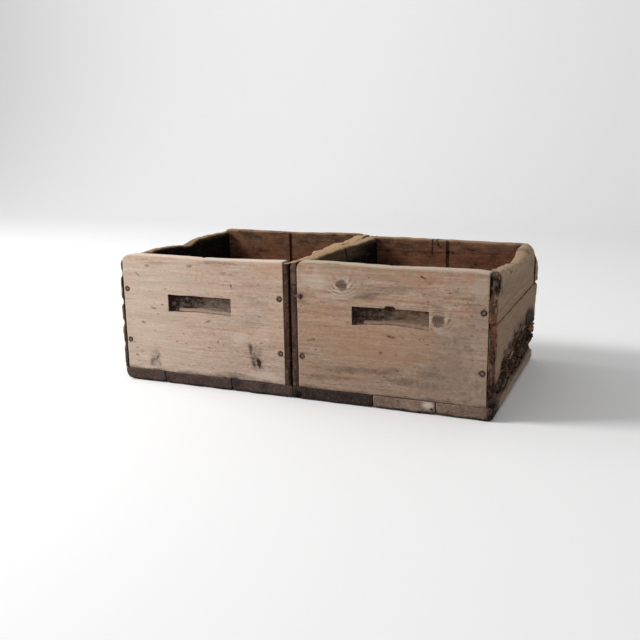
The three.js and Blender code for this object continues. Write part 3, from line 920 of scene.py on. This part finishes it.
leftInner = {
    **sideDefaults, "name": "left_inner_side_worn", "node": "left_inner_side", "slot": "pine_dark",
    "outward": 1, "lip": 10.3, "seed": 22, "grime": 0.2, "crown": (3.5, 2.5), "chatter": 1.0,
    "topLine": [(-179, -2), (-131, -3.5), (-88, -4), (-50, -5.5), (-44, -1), (-28, -2), (-12, -3.5),
                (11, -2), (42, 0), (66, -1), (89, -2.5), (123, -1), (150, 1), (179, 1)],
    "rounded": [(-1, [(-179, 17, 12), (-120, 17, 12), (-60, 15, 10), (-48, 5, 4), (179, 4, 4)])],
    "bites": [(-21, -36, 214, 7, 10, 5), (-20, -4, 214, 6, 12, 4), (-22, 22, 213, 5, 9, 4),
              (-21, 84, 213, 7, 16, 4), (-12, -52, 213, 5, 7, 4), (-8, -30, 214, 3, 18, 3)],
    "brush": brushDivider, "step": 2.6, "marks": [-50, -44], "topWorn": 1.0,
}
rightInner = {
    **sideDefaults, "name": "right_inner_side_worn", "node": "right_inner_side", "slot": "pine_dark",
    "outward": -1, "lip": 10.3, "seed": 23, "grime": 0.1, "crown": (5, 2.5), "chatter": 0.8,
    "topLine": [(-179, 1), (-120, 0), (-90, 1), (0, 1.5), (30, 0), (50, -1), (179, -0.5)],
    "rounded": [(1, [(-179, 10, 11), (-150, 8, 7), (-100, 3, 3), (179, 3, 3)])],
    "cracks": [{"at": 0, "low": 186, "high": 213, "lean": -14, "wander": 2, "narrow": 0.5, "wide": 1.0,
                "depth": 30}],
    "brush": brushDivider, "step": 2.6,
}
rightUpper = {
    **sideDefaults, "name": "right_outer_upper_worn", "node": "right_outer_side_upper", "slot": "pine_grey",
    "outward": 1, "lip": 10.3, "seed": 24, "crown": (7, 8), "chatter": 1.6, "fray": 1.6, "step": 2.4,
    "topLine": [(-179, -4), (-160, -3.5), (-120, -5), (-85, -7.5), (-55, -10), (-25, -12.5), (5, -15),
                (20, -15), (45, -12.5), (66, -12), (74, -8), (84, -3), (110, -1), (130, 0), (160, -2),
                (179, -5)],
    "rounded": [(1, [(-179, 15, 26), (-158, 12, 14), (-120, 10, 9), (110, 10, 9), (145, 16, 18),
                     (165, 25, 36), (179, 30, 50)])],
    "splay": 3.6, "splayLine": [(130, 1), (165, 1), (185, 0.4), (212, 0)],
    "cracks": [{"at": 155.5, "low": 137, "high": 193, "lean": 2, "wander": 1.2, "narrow": 2.2, "wide": 5.0,
                "depth": 11}],
    "marks": [149, 151, 153, 155.5, 158],
    "bites": [(300, -181, 212, 12, 7, 9), (311, 170, 139, 9, 34, 3.5), (315, 183, 148, 4, 6, 4),
              (316, 183, 170, 4, 6, 5)],
    "brush": brushRightUpper, "topWorn": 0.6, "decay": knobWear,
}
rightLower = {
    **sideDefaults, "name": "right_outer_lower_worn", "node": "right_outer_side_lower", "slot": "pine_grey",
    "outward": 1, "lip": 10.3, "seed": 25, "hasTop": False, "ridges": 0.3, "fray": 1.8, "step": 2.3,
    "chatter": 0.3, "splay": 3.0, "splayLine": [(20, 0.3), (50, 0.4), (100, 0.5), (140, 1)],
    "bites": [(309, 178, 26, 24, 22, 14), (307, -152, 26, 14, 38, 10), (311, -180, 40, 7, 9, 16),
              (311, 120, 20, 12, 30, 8), (310, 20, 18, 9, 46, 5), (311, 168, 141, 6, 26, 3)],
    "brush": brushRightLower, "decay": rotDepth,
}


def makeSides():
    dark = dict(
        grain="y", bump=0.8,
        stops=[(0.0, "7a6753"), (0.35, "5d4c3d"), (0.62, "43352a"), (1.0, "261d18")],
        warmTint="6d4a36", greyTint="5f5646", wornTint="c9a67e",
        blushTint="5c4232", darkTint="0d0907", paleTint="9a8c80",
        gloss=0.08, veinShare=0.2,
        endStops=[(0.2, "66584f"), (0.45, "3d312c"), (0.75, "1e1715")])
    grey = dict(
        grain="y", bump=0.9, mottleTone=0.4,
        stops=[(0.0, "a88f77"), (0.35, "917963"), (0.62, "7a6450"), (1.0, "4f3f31")],
        warmTint="85513a", greyTint="8e7d6a", wornTint="bda084",
        blushTint="8b6a53", darkTint="1f120b", paleTint="bda789",
        gloss=0.15,
        endStops=[(0.2, "7a5c48"), (0.45, "4d3428"), (0.75, "22140e")])
    leftOuter["wood"] = woodOf("dark_pine_outer", seed=6, pith=(100, -360), **dark)
    leftInner["wood"] = woodOf("dark_pine_inner", seed=7, pith=(90, 30), **dark)
    rightInner["wood"] = woodOf("dark_pine_middle", seed=8, pith=(120, -30), **dark)
    rightUpper["wood"] = woodOf("grey_pine_upper", seed=9, pith=(180, 250), **grey)
    rightLower["wood"] = woodOf("grey_pine_lower", seed=10, pith=(60, 260), **grey)
    for spec in (leftOuter, leftInner, rightInner, rightUpper, rightLower):
        makeSide(spec)


def makeFloorBoard(spec):
    low, high = boxOf(spec["node"])
    seed = spec["seed"]
    nails = nailSpots(spec["nails"], 2)

    def field(p):
        radius = np.clip(1.3 + 1.0 * cloud(p, (30, 30, 30), seed), 0.6, 2.8)
        lower = smooth(12, 4, p[:, 2]) * smooth(30, 12, 179 - np.abs(p[:, 1]))
        lower = np.maximum(lower, smooth(12, 4, p[:, 2]) * smooth(30, 12, 309 - np.abs(p[:, 0])))
        radius = radius + lower * (3.2 + 1.5 * cloud(p, (24, 24, 24), seed + 1))
        q = p.copy()
        q[:, 1] = p[:, 1] + cloud(p, (16, 200, 16), seed + 2) * 0.6
        q[:, 2] = p[:, 2] - np.maximum(cloud(p, (13, 30, 200), seed + 3), 0) * 2 * smooth(9, 2, p[:, 2])
        d = slab(q, low, high, radius)
        for side, rx, rz in spec["corners"]:
            cx = low[0] + rx if side < 0 else high[0] - rx
            u = np.maximum((p[:, 0] - cx) * side, 0) / rx
            v = np.maximum(rz - p[:, 2], 0) / rz
            d = softMax(d, (np.hypot(u, v) - 1) * min(rx, rz), 1.0)
        return bitten(d, p, spec["bites"])

    xs = ticks(low[0], high[0], 3.5, 0.9, [a for a, b in nails])
    ys = ticks(low[1], high[1], 4.5, 0.9, [b for a, b in nails])
    zs = ticks(low[2], high[2], 2.2, 0.9)
    points, quads = skinOf(xs, ys, zs, lambda cx, cy, cz: sound(field, cx, cy, cz))
    start = normalsOf(points, quads)
    points = settle(points, field)
    normals = normalsOf(points, quads)
    sunk, ring = nailPits(points, start, nails, 2, -1)
    relief = cloud(points, (22, 90, 60), seed + 20, 2) * 0.25
    points = points + normals * relief[:, None]
    points[:, 2] = np.maximum(points[:, 2] + sunk, 0.02)
    ends = smooth(0.5, 0.9, np.abs(normals[:, 1]))
    paints = blankPaints(points, endGrain=ends, dirt=np.maximum(spec["grime"], ring))
    for paint, centre, size, strength in spec["blots"]:
        lay(paints, **{paint: spot(points[:, 0], points[:, 2], centre, size) * ends * strength})
    # painted shade along the lowest few millimetres, where the board meets the ground, and dark grime at the
    # front right corner
    below = smooth(6, 2.5, points[:, 2] + 1.5 * cloud(points, (12, 12, 12), 48)) * 0.9
    corner = smooth(-120, -165, points[:, 1]) * smooth(293, 303, points[:, 0])
    below = np.maximum(below, corner * (1.05 + 0.7 * cloud(points, (4, 4, 9), 49, 2)))
    lay(paints, dirt=below)
    lay(paints, warm=np.maximum(corner, ends * 0.2))
    meshPiece(spec["name"], points, quads.tolist(), spec["wood"], paints, "pine_black", spec["node"])


def floorSpec(side, number, nails, **changes):
    name = f"{side}_floor_board_{number}"
    spec = {"name": name + "_worn", "node": name, "nails": [f"{side}_floor_nail_{n}" for n in nails],
            "seed": 40 + number + (10 if side == "right" else 0), "corners": [], "bites": [],
            "grime": 0.35, "blots": []}
    spec.update(changes)
    return spec


floorBoards = [
    floorSpec("left", 1, (1, 2), corners=[(-1, 14, 17)]),
    floorSpec("left", 2, (3, 4, 5, 6), blots=[("dirt", (-226, 9), (3, 3), 1)]),
    floorSpec("left", 3, (7, 8, 9, 10), corners=[(1, 26, 6)],
              blots=[("stain", (-100, 14), (16, 9), 0.8), ("stain", (-48, 14), (9, 9), 0.6)]),
    floorSpec("right", 1, (1, 2, 3, 4), corners=[(-1, 16, 5)], bites=[(9, -181, 6, 8, 11, 8)], grime=0.75),
    # the dark dot on this board is painted shade for a small hole
    floorSpec("right", 2, (5, 6, 7, 8), grime=0.1,
              blots=[("pale", (215, 14), (11, 7), 1.0), ("dirt", (220, 9), (3, 3), 1)]),
    floorSpec("right", 3, (9, 10), grime=0.1, corners=[(1, 12, 10)], bites=[(312, 182, 10, 10, 16, 30)],
              blots=[("warm", (295, 12), (9, 12), 1.0)]),
]


def makeFloor():
    black = dict(
        grain="flat", ringWidth=3.4,
        stops=[(0.0, "7a6a5d"), (0.35, "5d4e44"), (0.62, "443832"), (1.0, "2a211f")],
        endStops=[(0.0, "75635a"), (0.45, "4f403a"), (0.85, "261c1a")],
        warmTint="6e4534", darkTint="150e0b")
    lighter = {**black, "endStops": [(0.0, "ab9580"), (0.45, "846f60"), (0.85, "47382f")],
               "stops": [(0.0, "aa947d"), (0.35, "8f7964"), (0.62, "705d4c"), (1.0, "45382d")]}
    for n, spec in enumerate(floorBoards):
        look = lighter if spec["node"] in ("right_floor_board_2", "right_floor_board_3") else black
        middle = sum(boxOf(spec["node"]))[0] / 2
        spec["wood"] = woodOf(f"black_pine_{n + 1}", seed=20 + n, pith=(middle + 20, -60), **look)
        makeFloorBoard(spec)
    print("floor boards made:", len(floorBoards))


nailLook = {"radius": 3.2, "shank": 1.4, "sides": 22, "sink": 0.45, "dish": 0.5, "wobble": 0.025}


def makeRust():
    s = Shader("rusty_iron")
    bare = s.paint("bare")
    place = s.node("ShaderNodeTexCoord", out="Object")
    grit = s.noise(place, 900.0, 3.0, 0.6)
    patch = s.noise(place, 260.0, 2.0)
    colour = s.node("ShaderNodeValToRGB", {"stops": [
        (0.25, "2a1d18"), (0.5, "4d362b"), (0.75, "7b6252")]}, {0: patch})
    colour = s.mix(grit.between(0.5, 0.7), colour, "3a211a")
    colour = s.mix(bare * (0.1 + grit), colour, "94796a")
    bump = s.node("ShaderNodeBump", None, {"Strength": 0.5, "Distance": 0.0003, "Height": grit})
    return s.surface({"Base Color": colour, "Roughness": 0.6 + patch * 0.3, "Normal": bump,
                      "Metallic": 0.45})


def tubeFaces(rows, sides):
    # Faces between hoops of points, closed at both ends
    faces = [tuple(range(sides))[::-1]]
    for start in range(0, (rows - 1) * sides, sides):
        for n in range(sides):
            m = (n + 1) % sides
            faces.append((start + n, start + m, start + sides + m, start + sides + n))
    return faces + [tuple((rows - 1) * sides + n for n in range(sides))]


def makeNail(node, direction, rust, seed):
    # A head that is dished and hammered, on a short shank; z of the mesh runs out of the wood
    low, high = boxOf(node)
    place = (low + high) / 2
    axis = int(np.argmax(np.abs(direction)))
    place[axis] = low[axis] if direction[axis] < 0 else high[axis]
    place[axis] -= direction[axis] * nailLook["sink"]
    r, shank, dish, sides = (nailLook[key] for key in ("radius", "shank", "dish", "sides"))
    length = (high - low)[axis] - 2
    rows = [(shank / 2, -length), (shank, -length * 0.85), (shank, -1.6), (r * 0.9, -1.5), (r, -1.1),
            (r, -0.5), (r * 0.86, -0.1), (r * 0.6, -0.15 - dish * 0.6), (r * 0.25, -dish * 0.4),
            (0.2, -dish * 0.3)]
    rng = np.random.default_rng(seed)
    turns = np.arange(sides) * 2 * np.pi / sides
    lobes = np.sin(turns * 2 + rng.uniform(0, 6)) + 0.6 * np.sin(turns * 3 + rng.uniform(0, 6))
    lobes = 1 + nailLook["wobble"] * lobes
    points = np.array([(radius * lobe * math.cos(a), radius * lobe * math.sin(a), height)
                       for radius, height in rows for a, lobe in zip(turns, lobes)])
    bare = smooth(r * 0.8, r * 0.45, np.hypot(points[:, 0], points[:, 1]))
    turn = Vector((0, 0, 1)).rotation_difference(Vector(direction)).to_matrix()
    points = points @ np.array(turn).T + place
    meshPiece(node + "_rusted", points, tubeFaces(len(rows), sides), rust, {"bare": bare},
              "rusty_nail", node)


bentNail = {
    "node": "right_front_nail_3", "sides": 14, "standsOut": 6, "shank": 1.4,
    # from the hole outwards: across, depth from the panel's face, height and radius
    "path": [(0, 30, 0, 0.9), (0, 8, 0, 1.6), (-0.1, 1.5, 0, 1.7), (-0.9, -1.6, 0.1, 1.8),
             (-2.9, -3.2, 0.5, 1.75), (-6, -3.8, 1.1, 1.8), (-9, -4.0, 1.7, 1.9)],
    "tilt": (-0.1, -0.25, 0.1), "head": [(0.2, 3.0), (0.8, 3.5), (1.5, 3.4), (2.0, 2.6), (2.1, 0.4)],
}


def makeBentNail(rust):
    # Half drawn and knocked over to the left
    low, high = boxOf(bentNail["node"])
    hole = high[0] - bentNail["shank"]
    start = np.array([hole, low[1] + bentNail["standsOut"], (low[2] + high[2]) / 2])
    path = np.array(bentNail["path"])
    centres = path[:, :3] + start
    ways = np.gradient(centres, axis=0)
    ways /= np.linalg.norm(ways, axis=1)[:, None]
    turns = np.arange(bentNail["sides"]) * 2 * np.pi / bentNail["sides"]

    def hoop(centre, way, radius):
        a = np.cross(way, (0, 0, 1.0))
        a /= np.linalg.norm(a)
        b = np.cross(way, a)
        return centre + radius * (np.cos(turns)[:, None] * a + np.sin(turns)[:, None] * b)

    rows = [hoop(*row) for row in zip(centres, ways, path[:, 3])]
    tilt = ways[-1] + np.array(bentNail["tilt"])
    tilt /= np.linalg.norm(tilt)
    rows += [hoop(centres[-1] + tilt * step, tilt, radius) for step, radius in bentNail["head"]]
    points = np.concatenate(rows)
    bare = smooth(hole - 1, hole - 3, points[:, 0]) * smooth(hole - 9, hole - 8, points[:, 0])
    faces = [face[:1] + face[:0:-1] for face in tubeFaces(len(rows), bentNail["sides"])]
    meshPiece("bent_nail_rusted", points, faces, rust, {"bare": bare}, "rusty_nail", bentNail["node"])


def makeNails():
    rust = makeRust()
    ways = {"front": (0, -1, 0), "back": (0, 1, 0), "floor": (0, 0, -1), "joining": (1, 0, 0)}
    made = 0
    for n, node in enumerate(sorted(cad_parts)):
        if "nail" not in node or node == bentNail["node"]:
            continue
        kind = next(word for word in ways if word in node)
        makeNail(node, ways[kind], rust, 300 + n)
        made += 1
    makeBentNail(rust)
    print("nails made:", made + 1)


stageLook = {
    "eye": (501.6, -1231.2, 385.8), "yaw": 23.3, "pitch": -12.71, "roll": -0.89, "lens": 44.51,
    "floorColour": "f1f1f1", "bendStart": 2.2, "bendRadius": 1.4, "wallTop": 6, "reach": 8, "air": 0.5,
}
lightLooks = {
    "key": {"place": (-2.1, -0.9, 1.9), "target": (0, 0, 0.1), "size": 0.9, "power": 70},
    "wash": {"place": (-3.2, 0.6, 2.4), "target": (-0.6, 3.6, 1.3), "size": 2, "power": 32},
}


def makeStage():
    # A floor that curves up into a wall
    start, r = stageLook["bendStart"], stageLook["bendRadius"]
    bend = [(start + r * math.sin(a), r - r * math.cos(a)) for a in np.linspace(0.1, math.pi / 2, 14)]
    rows = [(-6, 0), (start, 0), *bend, (start + r, stageLook["wallTop"])]
    points = [(x, y, z) for y, z in rows for x in (-stageLook["reach"], stageLook["reach"])]
    faces = [(2 * n, 2 * n + 1, 2 * n + 3, 2 * n + 2) for n in range(len(rows) - 1)]
    paper = Shader("studio_paper").surface({
        "Base Color": (*linearColour(stageLook["floorColour"]), 1), "Roughness": 0.9})
    floor = meshObject("studio_floor", points, faces, paper)


def makeLight(name, place, target, size, power):
    data = bpy.data.lights.new(name, "AREA")
    data.shape = "SQUARE"
    data.size = size
    data.energy = power
    light = bpy.data.objects.new(name, data)
    light.location = place
    light.rotation_euler = (Vector(target) - Vector(place)).to_track_quat("-Z", "Y").to_euler()
    bpy.context.scene.collection.objects.link(light)


def makeLights():
    for name, look in lightLooks.items():
        makeLight(name, **look)
    world = bpy.data.worlds.new("studio_air")
    world.use_nodes = True
    air = world.node_tree.nodes["Background"]
    air.inputs["Color"].default_value = (1.0, 1.0, 1.0, 1)
    air.inputs["Strength"].default_value = stageLook["air"]
    bpy.context.scene.world = world
    bpy.context.scene.view_settings.view_transform = "Standard"


def makeCamera():
    data = bpy.data.cameras.new("camera")
    data.lens = stageLook["lens"]
    data.sensor_width = 36
    camera = bpy.data.objects.new("camera", data)
    yaw, pitch, roll = (math.radians(stageLook[k]) for k in ("yaw", "pitch", "roll"))
    forward = Vector((-math.sin(yaw) * math.cos(pitch), math.cos(yaw) * math.cos(pitch), math.sin(pitch)))
    right = Vector((math.cos(yaw), math.sin(yaw), 0))
    up = right.cross(forward)
    tiltedRight = right * math.cos(roll) + up * math.sin(roll)
    tiltedUp = up * math.cos(roll) - right * math.sin(roll)
    turn = Matrix((tiltedRight, tiltedUp, -forward)).transposed().to_4x4()
    camera.matrix_world = Matrix.Translation(Vector(stageLook["eye"]) * toMetres) @ turn
    bpy.context.scene.collection.objects.link(camera)
    bpy.context.scene.camera = camera


makeStage()
makeLights()
makeCamera()
print("stage, lights and camera made")
makePanels()
makeSides()
makeFloor()
makeNails()
